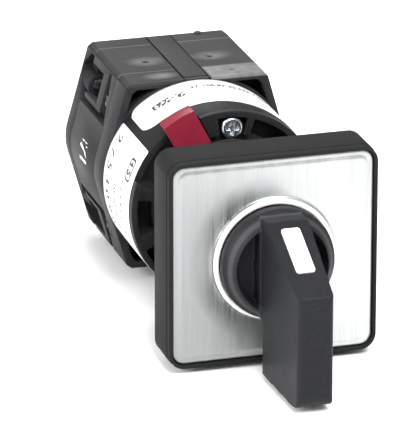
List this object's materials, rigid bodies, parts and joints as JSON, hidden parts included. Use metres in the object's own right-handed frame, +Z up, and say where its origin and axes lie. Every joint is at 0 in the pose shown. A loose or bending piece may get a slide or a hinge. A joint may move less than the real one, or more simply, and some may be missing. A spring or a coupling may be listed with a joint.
{
  "type": "cam switch",
  "caption": "Panel-mounted rotary cam switch with a lever knob on a square frame, a threaded neck, a round detent drum with a locking lever, and a contact block behind the panel.",
  "frame": {"origin": "on the shaft axis in the plane of the panel's front face, where the back of the front frame rests", "axes": "+Y runs from the panel's front face back through the panel along the shaft, +Z is up and +X is to the right seen from the front"},
  "size_m": [0.045, 0.1145, 0.045],
  "materials": {
    "black_knob": "fine satin",
    "white_plastic": "satin",
    "inner_plastic": "satin, natural colour",
    "screw_steel": "zinc plated",
    "spring_steel": "bright drawn",
    "red_plastic": "semi gloss",
    "grey_plastic": "fine satin",
    "brushed_plate": "brushed, satin",
    "gasket_rubber": "matt",
    "black_plastic": "satin",
    "block_plastic": "satin",
    "white_label": "printed film, satin",
    "copper": "copper with silver tips",
    "contact_brass": "tin and brass"
  },
  "bodies": {
    "housing": {"bezel": "grey_plastic", "front_plate": "brushed_plate", "panel_gasket": "gasket_rubber", "front_bush": "black_plastic", "spindle_seal": "gasket_rubber", "washer": "spring_steel", "ring_nut": "black_plastic", "mounting_collar": "black_plastic", "collar_screws": "screw_steel", "latch_housing": "black_plastic", "upper_label": "white_label", "side_label": "white_label", "detent_plunger_left": "inner_plastic", "detent_plunger_right": "inner_plastic", "detent_spring_left": "spring_steel", "detent_spring_right": "spring_steel", "stop_ring": "screw_steel", "front_frame": "block_plastic", "contact_housing": "block_plastic", "rear_cover": "block_plastic", "top_strip": "block_plastic", "bottom_strip": "block_plastic", "tie_bolts": "screw_steel", "terminal_clamps": "screw_steel", "terminal_screws": "screw_steel", "contact_plunger_1": "inner_plastic", "contact_plunger_2": "inner_plastic", "contact_plunger_3": "inner_plastic", "contact_plunger_4": "inner_plastic", "contact_bridge_1": "copper", "contact_bridge_2": "copper", "contact_bridge_3": "copper", "contact_bridge_4": "copper", "contact_spring_1": "spring_steel", "contact_spring_2": "spring_steel", "contact_spring_3": "spring_steel", "contact_spring_4": "spring_steel", "terminal_1": "contact_brass", "terminal_2": "contact_brass", "terminal_3": "contact_brass", "terminal_4": "contact_brass", "terminal_5": "contact_brass", "terminal_6": "contact_brass", "terminal_7": "contact_brass", "terminal_8": "contact_brass"},
    "rotor": {"knob": "black_knob", "pointer_insert": "white_plastic", "front_spindle": "inner_plastic", "knob_screw": "screw_steel", "spindle_clip": "spring_steel", "switch_shaft": "screw_steel", "detent_star": "inner_plastic", "stop_disc": "inner_plastic", "shaft_spacer": "inner_plastic", "cam_front": "inner_plastic", "cam_rear": "inner_plastic"},
    "lock": {"lock_lever": "red_plastic"}
  },
  "joints": [
    {"name": "knob_turn", "type": "hinge", "parent": "housing", "child": "rotor", "pos_m": [0, 0, 0], "axis": [0, 1, 0], "range_deg": [-90, 30]},
    {"name": "lock_lever_swing", "type": "hinge", "parent": "housing", "child": "lock", "pos_m": [0, 0.0234, 0], "axis": [0, 1, 0], "range_deg": [-30, 0]}
  ]
}
